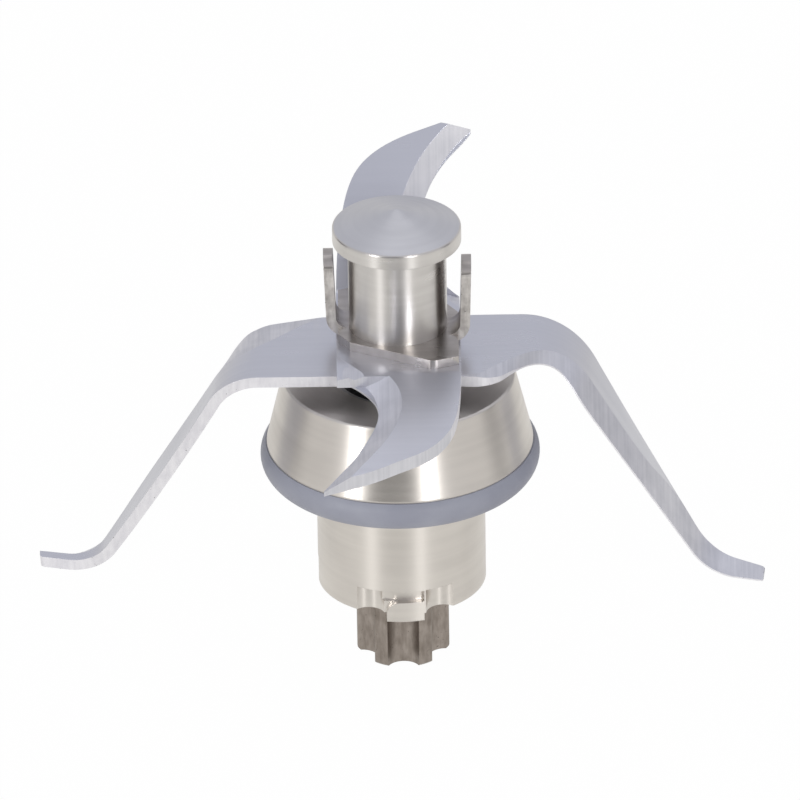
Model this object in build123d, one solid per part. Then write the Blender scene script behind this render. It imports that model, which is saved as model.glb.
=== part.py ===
from build123d import *
import os
from math import asin, atan, atan2, cos, hypot, pi, radians, sin, tan

# Blade assembly of a heating blender jug. A bearing housing holds a sealed spindle, which carries a
# long winged blade, a curved blade, an eared clip and a head nut. A six-lobed coupling drives it
# from below. Millimetres; +Z is the spindle axis, upwards. The origin is on that axis, in the plane
# where the flange seal meets the jug's floor. The long blade lies along X.

# Housing, a turned piece: a cone above the flange and a spigot below it
CONE_TOP_Z = 17.2
CONE_TOP_RADIUS = 19.1
FLANGE_RADIUS = 22.0
FLANGE_UNDERSIDE_Z = 4.7
FLANGE_LAND = 0.35
CONE_EDGE_ROUND = 0.45
SEAL_SEAT_RADIUS = 17.0
SEAL_SQUEEZE = 0.8
SPIGOT_RADIUS = 13.9
SPIGOT_RIM_Z = -20.9
RIM_CHAMFER = 0.25

# Bayonet lugs at the spigot's rim
LUG_COUNT = 3
LUG_AZIMUTH = -88.0
LUG_WIDTH = 6.2
LUG_DROP = 1.5
LUG_HEIGHT = 3.7
LUG_RAMP_RADIUS = 2.2
BAYONET_GROOVE_HEIGHT = 2.0
BAYONET_GROOVE_DEPTH = 1.1
SCALLOP_WIDTH = 5.2
SCALLOP_DEPTH = 1.7
SCALLOP_HEIGHT = 4.3
SCALLOP_SPREAD = 24.4

# Flange seal, a moulded ring
SEAL_RADIUS = 23.0
SEAL_TOP_INSET = 0.8
SEAL_BOTTOM_INSET = 1.1
SEAL_BULGE_LEVEL = 0.4

# Ball bearings, both of one size
BEARING_BORE_RADIUS = 4.0
BEARING_RADIUS = 11.0
BEARING_WIDTH = 7.0
BALL_RADIUS = 1.985
BALL_COUNT = 7
RACE_CONFORMITY = 1.04
BALL_CLEARANCE = 0.02
INNER_LAND_WALL = 2.1
OUTER_LAND_WALL = 1.7
SHIELD_THICKNESS = 0.3
SHIELD_INSET = 0.35
SHIELD_GAP = 0.3
CAGE_WALL = 1.2
CAGE_WIDTH = 4.6
POCKET_CLEARANCE = 0.06

# Bearing stack in the housing
UPPER_BEARING_TOP_Z = 11.2
BEARING_SPACING = 15.5
OUTER_SPACER_WALL = 1.4
INNER_SPACER_WALL = 2.0
WEB_THICKNESS = 1.0
WEB_BORE_RADIUS = 8.4
HOUSING_CIRCLIP_THICKNESS = 1.0
HOUSING_CIRCLIP_DEPTH = 0.5
HOUSING_CIRCLIP_WIDTH = 2.0
HOUSING_CIRCLIP_GAP_ANGLE = 50.0
SHAFT_CIRCLIP_THICKNESS = 0.8
SHAFT_CIRCLIP_DEPTH = 0.4
SHAFT_CIRCLIP_WIDTH = 1.6
SHAFT_CIRCLIP_GAP_ANGLE = 80.0
GROOVE_CLEARANCE = 0.05

# Shaft seal at the top of the housing
LIP_SEAL_TOP_INSET = 0.2
LIP_SEAL_CASE_WALL = 0.8
LIP_SEAL_CASE_FLANGE = 3.4
LIP_SEAL_SPRING_SECTION = 0.45
LIP_SEAL_SPRING_OFFSET = 1.6
LIP_SEAL_SPRING_LEVEL = 3.0
LIP_THICKNESS = 1.0
LIP_CLEARANCE = 0.03

# Shaft
SEAL_JOURNAL_RADIUS = 5.0
COLLAR_RADIUS = 7.5
COLLAR_GAP = 0.4
COLLAR_HEIGHT = 2.7
FLAT_RATIO = 0.8
BLADE_FIT = 0.04
STUD_RADIUS = 3.0
STUD_LENGTH = 12.5
THREAD_CLEARANCE = 0.05
COUPLING_STUB_RADIUS = 3.0
SHAFT_END_CHAMFER = 0.4

# Drive coupling
COUPLING_RADIUS = 7.65
COUPLING_VALLEY_RADIUS = 5.2
COUPLING_LOBES = 6
COUPLING_LOBE_WIDTH = 2.6
COUPLING_HEIGHT = 14.9
COUPLING_TOP_GAP = 0.7
COUPLING_EDGE_CHAMFER = 0.5
COUPLING_LOBE_ROUND = 0.35

# Winged blade: one strip, bent down and then out again on each side
WING_THICKNESS = 1.9
WING_HALF_WIDTH = 10.0
WING_REACH = 60.0
WING_BEND_X = 27.3
WING_BEND_SKEW = 0.136
WING_UPPER_BEND_RADIUS = 14.0
WING_FOOT_X = 51.2
WING_FOOT_SKEW = -0.1
WING_DROP = 39.6
WING_LOWER_BEND_RADIUS = 11.0
WING_TIP_SLOPE = 7.0
WING_BACK_STRAIGHT_X = 31.6
WING_BACK_TIP_Y = -3.5
WING_KNEE_RADIUS = 14.0
WING_TIP_ROUND = 0.95
WING_ARM_X = 24.5
WING_NECK_END_X = 27.0
WING_ROOT_X = -2.0
WING_EDGE_Y = 2.78
WING_EDGE_LEAN = 0.047
WING_BEVEL_WIDTH = 4.0
WING_BEVEL_RUN_OUT = 1.0
WING_EDGE_LAND = 0.25

# Shoulders of the long blade: where its leading edge narrows from the hub, and the facet ground there
RIGHT_SHOULDER = [(12.8, -WING_HALF_WIDTH), (16.7, -8.7), (18.7, -6.4), (21.6, -4.6)]
RIGHT_FACET_START = (14.2, -7.4)
RIGHT_FACET_END = (26.0, -0.2)
RIGHT_FACET_WIDTH = 3.6
LEFT_SHOULDER = [(13.6, -WING_HALF_WIDTH), (16.4, -9.0), (20.6, -8.1), (23.8, -6.8)]
LEFT_FACET_START = (13.0, -8.8)
LEFT_FACET_END = (26.0, -0.4)
LEFT_FACET_WIDTH = 4.2
GRIND_RUN_IN = 0.05
GRIND_REACH = 9.0

# Curved blade: a hub plate with a raised arm at the back and a lowered arm at the front
SCYTHE_THICKNESS = 2.7
SCYTHE_HUB_HALF_WIDTH = 10.2
SCYTHE_BEND_Y = 13.8
SCYTHE_RAISED_SLOPE = 53.0
SCYTHE_LOWERED_SLOPE = 12.0
SCYTHE_BEND_RADIUS = 1.5
SCYTHE_ARM_LENGTH = 28.0
SCYTHE_TIP_X = 12.5
SCYTHE_ARM_ROOT_Y = -1.0
SCYTHE_BEVEL_WIDTH = 3.9
SCYTHE_EDGE_LAND = 0.4
SCYTHE_CORNER_START = (-10.7, -7.2)
SCYTHE_CORNER_END = (-3.8, -16.8)
SCYTHE_CORNER_WIDTH = 2.85

# Outlines of its arms, each in its own plane: x across and y along the arm from its bend. The outer
# side and the tip come first, then the hollow side, then the line that the edge is ground along.
RAISED_OUTER_SIDE = [(-SCYTHE_HUB_HALF_WIDTH, SCYTHE_ARM_ROOT_Y), (-8.9, 13.5), (-6.0, 20.9),
                     (0.8, 25.6), (7.6, SCYTHE_ARM_LENGTH)]
RAISED_TIP = (SCYTHE_TIP_X, SCYTHE_ARM_LENGTH - 0.9)
RAISED_HOLLOW = [(SCYTHE_TIP_X, SCYTHE_ARM_LENGTH - 1.6), (8.9, 22.5), (6.0, 18.5), (4.0, 10.0),
                 (SCYTHE_HUB_HALF_WIDTH, SCYTHE_ARM_ROOT_Y)]
RAISED_EDGE_LINE = [(SCYTHE_TIP_X + 1, SCYTHE_ARM_LENGTH - 0.6), (6.0, 18.5), (4.0, 8.0), (6.0, 1.0)]
LOWERED_OUTER_SIDE = [(-SCYTHE_HUB_HALF_WIDTH, SCYTHE_ARM_ROOT_Y), (-9.8, 7.2), (-8.3, 14.2),
                      (-4.1, 19.6), (0.1, 22.0), (6.7, 25.3)]
LOWERED_TIP = (SCYTHE_TIP_X, SCYTHE_ARM_LENGTH - 0.6)
LOWERED_HOLLOW = [(SCYTHE_TIP_X, SCYTHE_ARM_LENGTH - 1.0), (10.0, 23.0), (7.4, 18.8), (5.3, 14.3),
                  (3.5, 7.0), (SCYTHE_HUB_HALF_WIDTH, SCYTHE_ARM_ROOT_Y)]
LOWERED_EDGE_LINE = [(SCYTHE_TIP_X + 1, SCYTHE_ARM_LENGTH - 0.6), (7.4, 18.8), (4.2, 12.0), (3.5, 7.0),
                     (5.5, 1.0)]

# Eared clip: a saddle plate with two upright ears
CLIP_THICKNESS = 1.6
CLIP_INNER_HALF_SPAN = 10.15
CLIP_BEND_RADIUS = 2.0
CLIP_EAR_LEAN = 1.8
CLIP_EAR_HEIGHT = 12.8
CLIP_EAR_NEAR_Y = -4.3
CLIP_EAR_FAR_Y = 1.5
CLIP_EAR_ROUND = 2.2
CLIP_CORNER_X = 5.6
CLIP_CORNER_Y = -13.1
CLIP_NECK_X = 8.0
CLIP_NECK_Y = 6.35
CLIP_SIDE_INSET = 0.3
CLIP_CORNER_ROUND = 2.0
CLIP_FRONT_SLANT = 1.5
CLIP_SHOULDER_REACH = 2.0

# Head nut: cap and neck turned in one piece
NECK_RADIUS = 8.1
NECK_HEIGHT = 15.7
CAP_RADIUS = 10.6
CAP_SIDE_HEIGHT = 2.5
CAP_CONE_HEIGHT = 3.2
CAP_EDGE_ROUND = 0.4
NUT_BORE_SPARE = 1.0

# Places that follow from the sizes above
UPPER_BEARING_BOTTOM_Z = UPPER_BEARING_TOP_Z - BEARING_WIDTH
LOWER_BEARING_TOP_Z = UPPER_BEARING_BOTTOM_Z - BEARING_SPACING
LOWER_BEARING_BOTTOM_Z = LOWER_BEARING_TOP_Z - BEARING_WIDTH
PITCH_RADIUS = (BEARING_BORE_RADIUS + BEARING_RADIUS) / 2
LIP_SEAL_BOTTOM_Z = UPPER_BEARING_TOP_Z + WEB_THICKNESS
LIP_SEAL_TOP_Z = CONE_TOP_Z - LIP_SEAL_TOP_INSET
LIP_SPRING_RADIUS = SEAL_JOURNAL_RADIUS + LIP_CLEARANCE + LIP_SEAL_SPRING_OFFSET
LIP_SPRING_Z = LIP_SEAL_BOTTOM_Z + LIP_SEAL_SPRING_LEVEL
COLLAR_BOTTOM_Z = CONE_TOP_Z + COLLAR_GAP
WING_BOTTOM_Z = COLLAR_BOTTOM_Z + COLLAR_HEIGHT
WING_TOP_Z = WING_BOTTOM_Z + WING_THICKNESS
SCYTHE_TOP_Z = WING_TOP_Z + SCYTHE_THICKNESS
CLIP_TOP_Z = SCYTHE_TOP_Z + CLIP_THICKNESS
STUD_TOP_Z = CLIP_TOP_Z + STUD_LENGTH
CAP_BOTTOM_Z = CLIP_TOP_Z + NECK_HEIGHT
CAP_RIM_Z = CAP_BOTTOM_Z + CAP_SIDE_HEIGHT
SHAFT_CIRCLIP_BOTTOM_Z = LOWER_BEARING_BOTTOM_Z - SHAFT_CIRCLIP_THICKNESS
COUPLING_TOP_Z = SHAFT_CIRCLIP_BOTTOM_Z - COUPLING_TOP_GAP
COUPLING_BOTTOM_Z = COUPLING_TOP_Z - COUPLING_HEIGHT
FAR = 80.0


def turned(corners):
    """Solid of revolution about Z from (radius, height) corners."""
    points = [(radius, 0, height) for radius, height in corners]
    return revolve(make_face(Polyline(*points, close=True)), axis=Axis.Z)


def tube(outer_radius, inner_radius, bottom_z, top_z):
    """Plain sleeve about Z."""
    return turned([(inner_radius, bottom_z), (outer_radius, bottom_z),
                   (outer_radius, top_z), (inner_radius, top_z)])


def rod(radius, bottom_z, top_z):
    """Plain cylinder about Z."""
    low = (Align.CENTER, Align.CENTER, Align.MIN)
    return Pos(0, 0, bottom_z) * Cylinder(radius, top_z - bottom_z, align=low)


def block(low, high):
    """Box between two corners."""
    size = [b - a for a, b in zip(low, high)]
    return Pos(*low) * Box(*size, align=(Align.MIN, Align.MIN, Align.MIN))


def two_flat_rod(radius, bottom_z, top_z, clearance=0.0):
    """Cylinder with two flats across Y: the drive form of the shaft and of each hole it drives."""
    half_flat = radius * FLAT_RATIO + clearance
    slab = block((-FAR, -half_flat, bottom_z), (FAR, half_flat, top_z))
    return rod(radius + clearance, bottom_z, top_z) & slab


def ring_edges(solid, radius, z):
    """Circular edges of a turned piece at one radius and height."""
    found = []
    for edge in solid.edges().filter_by(GeomType.CIRCLE):
        if abs(edge.radius - radius) < 1e-3 and abs(edge.arc_center.Z - z) < 1e-3:
            found.append(edge)
    return found


def bearing_housing():
    """Turned housing with its bearing bore, seal recess and bayonet lugs."""
    land_z = FLANGE_UNDERSIDE_Z + FLANGE_LAND
    lug_bottom = SPIGOT_RIM_Z - LUG_DROP
    body = turned([
        (0, CONE_TOP_Z), (CONE_TOP_RADIUS, CONE_TOP_Z), (FLANGE_RADIUS, land_z),
        (FLANGE_RADIUS, FLANGE_UNDERSIDE_Z), (SEAL_SEAT_RADIUS, FLANGE_UNDERSIDE_Z),
        (SEAL_SEAT_RADIUS, SEAL_SQUEEZE), (SPIGOT_RADIUS, SEAL_SQUEEZE),
        (SPIGOT_RADIUS, lug_bottom), (0, lug_bottom)])
    body = fillet(ring_edges(body, CONE_TOP_RADIUS, CONE_TOP_Z), CONE_EDGE_ROUND)
    body = chamfer(ring_edges(body, SPIGOT_RADIUS, lug_bottom), RIM_CHAMFER)
    body = body - rod(BEARING_RADIUS, lug_bottom - 1, UPPER_BEARING_TOP_Z)
    body = body - rod(WEB_BORE_RADIUS, UPPER_BEARING_TOP_Z - 1, CONE_TOP_Z + 1)
    body = body - rod(BEARING_RADIUS, LIP_SEAL_BOTTOM_Z, CONE_TOP_Z + 1)
    groove_bottom = LOWER_BEARING_BOTTOM_Z - HOUSING_CIRCLIP_THICKNESS
    body = body - rod(BEARING_RADIUS + HOUSING_CIRCLIP_DEPTH, groove_bottom, LOWER_BEARING_BOTTOM_Z)
    rim_cut = tube(SPIGOT_RADIUS + 1, BEARING_RADIUS - 1, lug_bottom - 1, SPIGOT_RIM_Z)
    lugs = [Rot(0, 0, LUG_AZIMUTH + turn * 360 / LUG_COUNT) for turn in range(LUG_COUNT)]
    for place in lugs:
        lug_space = block((0, -LUG_WIDTH / 2, lug_bottom - 2), (FAR, LUG_WIDTH / 2, SPIGOT_RIM_Z + 1))
        rim_cut = rim_cut - place * lug_space
    body = body - rim_cut
    for place in lugs:
        for cutter in bayonet_cutters():
            body = body - place * cutter
    return body


def bayonet_cutters():
    """Scallops beside one lug, the groove above it and the lug's ramp, for a lug on +X."""
    scallop_radius = ((SCALLOP_WIDTH / 2) ** 2 + SCALLOP_DEPTH ** 2) / (2 * SCALLOP_DEPTH)
    centre = SPIGOT_RADIUS - SCALLOP_DEPTH + scallop_radius
    ceiling = SPIGOT_RIM_Z + SCALLOP_HEIGHT
    scallop = Pos(centre, 0, 0) * rod(scallop_radius, SPIGOT_RIM_Z - LUG_DROP - 1, ceiling)
    lug_top = SPIGOT_RIM_Z - LUG_DROP + LUG_HEIGHT
    groove_floor = SPIGOT_RADIUS - BAYONET_GROOVE_DEPTH
    groove = tube(SPIGOT_RADIUS + 1, groove_floor, lug_top, lug_top + BAYONET_GROOVE_HEIGHT)
    scallop_y = SPIGOT_RADIUS * sin(radians(SCALLOP_SPREAD))
    groove = groove & block((0, -scallop_y, lug_top - 1), (FAR, LUG_WIDTH / 2, lug_top + 9))
    side = -LUG_WIDTH / 2
    ramp = block((groove_floor, side - 1, lug_top - LUG_RAMP_RADIUS),
                 (SPIGOT_RADIUS + 1, side + LUG_RAMP_RADIUS, lug_top + 0.5))
    wheel = Rot(0, 90, 0) * Cylinder(LUG_RAMP_RADIUS, 4 * SPIGOT_RADIUS)
    ramp = ramp - Pos(0, side + LUG_RAMP_RADIUS, lug_top - LUG_RAMP_RADIUS) * wheel
    return [Rot(0, 0, SCALLOP_SPREAD) * scallop, Rot(0, 0, -SCALLOP_SPREAD) * scallop, groove, ramp]


def flange_seal():
    """Moulded ring under the flange, bulging past it and down to the jug's floor."""
    top = FLANGE_UNDERSIDE_Z
    foot = (SEAL_RADIUS - SEAL_BOTTOM_INSET, 0, 0)
    head = (SEAL_RADIUS - SEAL_TOP_INSET, 0, top)
    bulge = ThreePointArc(foot, (SEAL_RADIUS, 0, SEAL_BULGE_LEVEL * top), head)
    rest = Polyline(head, (SEAL_SEAT_RADIUS, 0, top), (SEAL_SEAT_RADIUS, 0, 0), foot)
    return revolve(make_face([bulge, *rest.edges()]), axis=Axis.Z)


def race(top_z, side):
    """Cutter of a ball race; side is +1 for the inner ring's race and -1 for the outer ring's."""
    groove_radius = BALL_RADIUS * RACE_CONFORMITY
    offset = groove_radius - BALL_RADIUS - BALL_CLEARANCE
    return Pos(0, 0, top_z - BEARING_WIDTH / 2) * Torus(PITCH_RADIUS + side * offset, groove_radius)


def outer_ring(top_z):
    """Outer ring of a bearing with its race."""
    ring = tube(BEARING_RADIUS, BEARING_RADIUS - OUTER_LAND_WALL, top_z - BEARING_WIDTH, top_z)
    return ring - race(top_z, -1)


def inner_ring(top_z):
    """Inner ring of a bearing with its race."""
    land = BEARING_BORE_RADIUS + INNER_LAND_WALL
    return tube(land, BEARING_BORE_RADIUS, top_z - BEARING_WIDTH, top_z) - race(top_z, 1)


def ball_places(top_z):
    """Places of the balls of one bearing."""
    middle = top_z - BEARING_WIDTH / 2
    return [Rot(0, 0, turn * 360 / BALL_COUNT) * Pos(PITCH_RADIUS, 0, middle)
            for turn in range(BALL_COUNT)]


def balls(top_z):
    """The balls of one bearing, as separate solids."""
    return Compound(children=[place * Sphere(BALL_RADIUS) for place in ball_places(top_z)])


def cage(top_z):
    """Moulded ring with a pocket round each ball, open at its lower edge."""
    middle = top_z - BEARING_WIDTH / 2
    ring = tube(PITCH_RADIUS + CAGE_WALL / 2, PITCH_RADIUS - CAGE_WALL / 2,
                middle - CAGE_WIDTH / 2, middle + CAGE_WIDTH / 2)
    pocket = Rot(0, 90, 0) * Cylinder(BALL_RADIUS + POCKET_CLEARANCE, BEARING_RADIUS / 2)
    for place in ball_places(top_z):
        ring = ring - place * pocket
    return ring


def shields(top_z):
    """The two cover discs of one bearing, held in its outer ring."""
    outer = BEARING_RADIUS - OUTER_LAND_WALL
    inner = BEARING_BORE_RADIUS + INNER_LAND_WALL + SHIELD_GAP
    upper_face = top_z - SHIELD_INSET
    lower_face = top_z - BEARING_WIDTH + SHIELD_INSET
    upper = tube(outer, inner, upper_face - SHIELD_THICKNESS, upper_face)
    lower = tube(outer, inner, lower_face, lower_face + SHIELD_THICKNESS)
    return Compound(children=[upper, lower])


def open_ring(outer_radius, inner_radius, bottom_z, thickness, gap_angle):
    """Snap ring with a gap centred on +X."""
    ring = tube(outer_radius, inner_radius, bottom_z, bottom_z + thickness)
    reach = 2 * outer_radius
    half_gap = reach * tan(radians(gap_angle / 2))
    wedge = make_face(Polyline((0, 0), (reach, -half_gap), (reach, half_gap), close=True))
    return ring - Pos(0, 0, bottom_z - 1) * extrude(wedge, thickness + 2)


def housing_circlip():
    """Internal snap ring that carries the lower bearing."""
    outer = BEARING_RADIUS + HOUSING_CIRCLIP_DEPTH - GROOVE_CLEARANCE
    bottom = LOWER_BEARING_BOTTOM_Z - HOUSING_CIRCLIP_THICKNESS
    return open_ring(outer, outer - HOUSING_CIRCLIP_WIDTH, bottom, HOUSING_CIRCLIP_THICKNESS,
                     HOUSING_CIRCLIP_GAP_ANGLE)


def shaft_circlip():
    """External snap ring that holds the inner rings up against the shaft's shoulder."""
    inner = BEARING_BORE_RADIUS - SHAFT_CIRCLIP_DEPTH + GROOVE_CLEARANCE
    return open_ring(inner + SHAFT_CIRCLIP_WIDTH, inner, SHAFT_CIRCLIP_BOTTOM_Z,
                     SHAFT_CIRCLIP_THICKNESS, SHAFT_CIRCLIP_GAP_ANGLE)


def lip_seal_case():
    """Pressed metal case of the shaft seal, seated on the housing's web."""
    bottom = LIP_SEAL_BOTTOM_Z
    inner = BEARING_RADIUS - LIP_SEAL_CASE_WALL
    flange = BEARING_RADIUS - LIP_SEAL_CASE_FLANGE
    floor = bottom + LIP_SEAL_CASE_WALL
    return turned([
        (BEARING_RADIUS, bottom), (BEARING_RADIUS, LIP_SEAL_TOP_Z), (inner, LIP_SEAL_TOP_Z),
        (inner, floor), (flange, floor), (flange, bottom)])


def lip_seal_rubber():
    """Moulded lip bonded into the case; its edge runs on the shaft."""
    lip = SEAL_JOURNAL_RADIUS + LIP_CLEARANCE
    case = BEARING_RADIUS - LIP_SEAL_CASE_WALL
    floor = LIP_SEAL_BOTTOM_Z + LIP_SEAL_CASE_WALL
    root = lip + 2 * LIP_THICKNESS
    ridge_z = LIP_SPRING_Z + LIP_SEAL_SPRING_SECTION
    body = turned([
        (case, floor), (case, floor + LIP_THICKNESS), (root + LIP_THICKNESS, floor + LIP_THICKNESS),
        (LIP_SPRING_RADIUS, ridge_z), (lip + LIP_THICKNESS / 2, ridge_z), (lip, LIP_SPRING_Z),
        (lip + LIP_THICKNESS, floor + LIP_THICKNESS), (root, floor)])
    return body - lip_seal_spring()


def lip_seal_spring():
    """Closed coil spring round the lip, as the ring that it fills."""
    return Pos(0, 0, LIP_SPRING_Z) * Torus(LIP_SPRING_RADIUS, LIP_SEAL_SPRING_SECTION)


def shaft():
    """Shouldered shaft: coupling stub, bearing journal, seal journal, collar, blade seat, stud."""
    body = rod(BEARING_BORE_RADIUS, COUPLING_TOP_Z, UPPER_BEARING_TOP_Z)
    body = body + rod(SEAL_JOURNAL_RADIUS, UPPER_BEARING_TOP_Z, COLLAR_BOTTOM_Z)
    body = body + rod(COLLAR_RADIUS, COLLAR_BOTTOM_Z, WING_BOTTOM_Z)
    body = body + two_flat_rod(BEARING_BORE_RADIUS, WING_BOTTOM_Z, CLIP_TOP_Z)
    stud = rod(STUD_RADIUS, CLIP_TOP_Z, STUD_TOP_Z)
    body = body + chamfer(ring_edges(stud, STUD_RADIUS, STUD_TOP_Z), SHAFT_END_CHAMFER)
    body = body + two_flat_rod(COUPLING_STUB_RADIUS, COUPLING_BOTTOM_Z, COUPLING_TOP_Z)
    return body - tube(2 * BEARING_BORE_RADIUS, BEARING_BORE_RADIUS - SHAFT_CIRCLIP_DEPTH,
                       SHAFT_CIRCLIP_BOTTOM_Z, LOWER_BEARING_BOTTOM_Z)


def drive_coupling():
    """Six-lobed coupling with round valleys, pressed on the shaft's flats."""
    lobe_half_angle = asin(COUPLING_LOBE_WIDTH / 2 / COUPLING_RADIUS)
    valley_half_angle = pi / COUPLING_LOBES - lobe_half_angle
    edge_x = COUPLING_RADIUS * cos(valley_half_angle)
    reach = edge_x - COUPLING_VALLEY_RADIUS
    centre = (COUPLING_RADIUS ** 2 - COUPLING_VALLEY_RADIUS ** 2) / (2 * reach)
    star = Circle(COUPLING_RADIUS)
    for turn in range(COUPLING_LOBES):
        place = Rot(0, 0, (turn + 0.5) * 360 / COUPLING_LOBES) * Pos(centre, 0)
        star = star - place * Circle(centre - COUPLING_VALLEY_RADIUS)
    star = fillet(star.vertices(), COUPLING_LOBE_ROUND)
    body = Pos(0, 0, COUPLING_BOTTOM_Z) * extrude(star, COUPLING_HEIGHT)
    blank = rod(COUPLING_RADIUS, COUPLING_BOTTOM_Z, COUPLING_TOP_Z)
    rims = [*ring_edges(blank, COUPLING_RADIUS, COUPLING_BOTTOM_Z),
            *ring_edges(blank, COUPLING_RADIUS, COUPLING_TOP_Z)]
    body = body & chamfer(rims, COUPLING_EDGE_CHAMFER)
    return body - two_flat_rod(COUPLING_STUB_RADIUS, COUPLING_BOTTOM_Z - 1, COUPLING_TOP_Z + 1)


def offset_corners(points, depth):
    """Corners of a polyline moved to its right by a depth, mitred; its ends move squarely."""
    turns = [atan2(b[1] - a[1], b[0] - a[0]) for a, b in zip(points, points[1:])]
    moved = []
    for index, (across, up) in enumerate(points):
        before = turns[max(index - 1, 0)]
        after = turns[min(index, len(turns) - 1)]
        middle = (before + after) / 2
        reach = depth / cos((after - before) / 2)
        moved.append((across + reach * sin(middle), up - reach * cos(middle)))
    return moved


def offset_radii(points, radii, depth):
    """Bend radii of that moved line: a bend to the right tightens and a bend to the left opens."""
    turns = [atan2(b[1] - a[1], b[0] - a[0]) for a, b in zip(points, points[1:])]
    return [radius + (depth if after > before else -depth)
            for radius, before, after in zip(radii, turns, turns[1:])]


def band(upper, upper_radii, lower, lower_radii, plane):
    """Face between two rounded lines that run the same way, drawn in a plane."""
    top = FilletPolyline(*upper, radius=upper_radii)
    bottom = FilletPolyline(*lower, radius=lower_radii)
    ends = [Line(upper[0], lower[0]), Line(upper[-1], lower[-1])]
    return plane * make_face([*top.edges(), *bottom.edges(), *ends])


def side_plane(y, lean=0.0):
    """Plane of a side view that meets the Y axis at y and turns away from X by a slope."""
    angle = atan(lean)
    return Plane(origin=(0, y, 0), x_dir=(cos(angle), sin(angle), 0),
                 z_dir=(sin(angle), -cos(angle), 0))


def wing_line(y, lean):
    """Top line of the wing's right half in such a plane, from the axis to past its tip."""
    bend_x = (WING_BEND_X + WING_BEND_SKEW * y) / (1 - WING_BEND_SKEW * lean)
    foot_x = (WING_FOOT_X + WING_FOOT_SKEW * y) / (1 - WING_FOOT_SKEW * lean)
    foot_z = WING_TOP_Z - WING_DROP
    end_x = WING_REACH + WING_HALF_WIDTH
    end_z = foot_z - (end_x - foot_x) * tan(radians(WING_TIP_SLOPE))
    stretch = hypot(1, lean)
    return [(0, WING_TOP_Z), (bend_x * stretch, WING_TOP_Z), (foot_x * stretch, foot_z),
            (end_x * stretch, end_z)]


def wing_section(y):
    """Section of the wing's sheet at y."""
    line = wing_line(y, 0)
    radii = [WING_UPPER_BEND_RADIUS, WING_LOWER_BEND_RADIUS]
    return band(line, radii, offset_corners(line, WING_THICKNESS),
                offset_radii(line, radii, WING_THICKNESS), side_plane(y))


def wing_ground_section(y, depth):
    """Section of what lies above the ground face, which runs a depth under the wing's top."""
    line = wing_line(y, -WING_EDGE_LEAN)
    radii = [WING_UPPER_BEND_RADIUS, WING_LOWER_BEND_RADIUS]
    ground = offset_corners(line, depth)
    floor = FilletPolyline(*ground, radius=offset_radii(line, radii, depth))
    far_x = ground[-1][0]
    cover = Polyline(ground[0], (0, FAR), (far_x, FAR), ground[-1])
    return side_plane(y, -WING_EDGE_LEAN) * make_face([*floor.edges(), *cover.edges()])


def corner_grind(start, end, width, depth, top_z):
    """Wedge that grinds a corner: from little at its start to a full facet at its end."""
    along = Vector(*end) - Vector(*start)
    out = Vector(along.Y, -along.X).normalized()
    faces = []
    for (x, y), share in ((start, GRIND_RUN_IN), (end, 1.0)):
        inner = Vector(x, y, top_z)
        outer = inner + out * GRIND_REACH
        fall = Vector(0, 0, GRIND_REACH * depth / width * share)
        rise = Vector(0, 0, GRIND_REACH)
        faces.append(make_face(Polyline(inner, outer - fall, outer + rise, inner + rise, close=True)))
    return loft(faces, ruled=True)


def wing_outline(shoulder, root_x):
    """Plan of the wing's right half; shoulder lists where its leading edge narrows from the hub."""
    front_tip = -WING_EDGE_Y - WING_EDGE_LEAN * WING_REACH
    neck_end = (WING_NECK_END_X, -WING_EDGE_Y - WING_EDGE_LEAN * WING_NECK_END_X)
    leading = Spline(*shoulder, neck_end, tangents=[(1, 0), (1, -WING_EDGE_LEAN)])
    edges = [
        Line((root_x, -WING_HALF_WIDTH), shoulder[0]), leading,
        Line(neck_end, (WING_REACH, front_tip)),
        Line((WING_REACH, front_tip), (WING_REACH, WING_BACK_TIP_Y)),
        Line((WING_REACH, WING_BACK_TIP_Y), (WING_BACK_STRAIGHT_X, WING_HALF_WIDTH)),
        Line((WING_BACK_STRAIGHT_X, WING_HALF_WIDTH), (root_x, WING_HALF_WIDTH)),
        Line((root_x, WING_HALF_WIDTH), (root_x, -WING_HALF_WIDTH))]
    outline = make_face(edges)
    tips = [v for v in outline.vertices() if v.X > WING_REACH - 0.01]
    outline = fillet(tips, WING_TIP_ROUND)
    knee = [v for v in outline.vertices() if abs(v.X - WING_BACK_STRAIGHT_X) < 0.01]
    return Pos(0, 0, -FAR) * extrude(fillet(knee, WING_KNEE_RADIUS), 2 * FAR)


def wing_arm(shoulder, facet_start, facet_end, facet_width):
    """Right half of the wing, with a facet ground on its shoulder and its leading edge ground thin
    all the way down the arm."""
    rim = WING_HALF_WIDTH + 2
    depth = WING_THICKNESS - WING_EDGE_LAND
    slope = depth / WING_BEVEL_WIDTH
    arm = loft([wing_section(rim), wing_section(-rim)], ruled=True)
    arm = arm & wing_outline(shoulder, WING_ROOT_X)
    inner_y = WING_BEVEL_WIDTH - WING_EDGE_Y + WING_BEVEL_RUN_OUT
    outer_y = -WING_EDGE_Y - WING_BEVEL_RUN_OUT
    ground = loft([wing_ground_section(inner_y, -slope * WING_BEVEL_RUN_OUT),
                   wing_ground_section(outer_y, depth + slope * WING_BEVEL_RUN_OUT)], ruled=True)
    arm = arm - (ground & block((WING_ARM_X, -FAR, -FAR), (FAR, FAR, FAR)))
    return arm - corner_grind(facet_start, facet_end, facet_width, depth, WING_TOP_Z)


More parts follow.
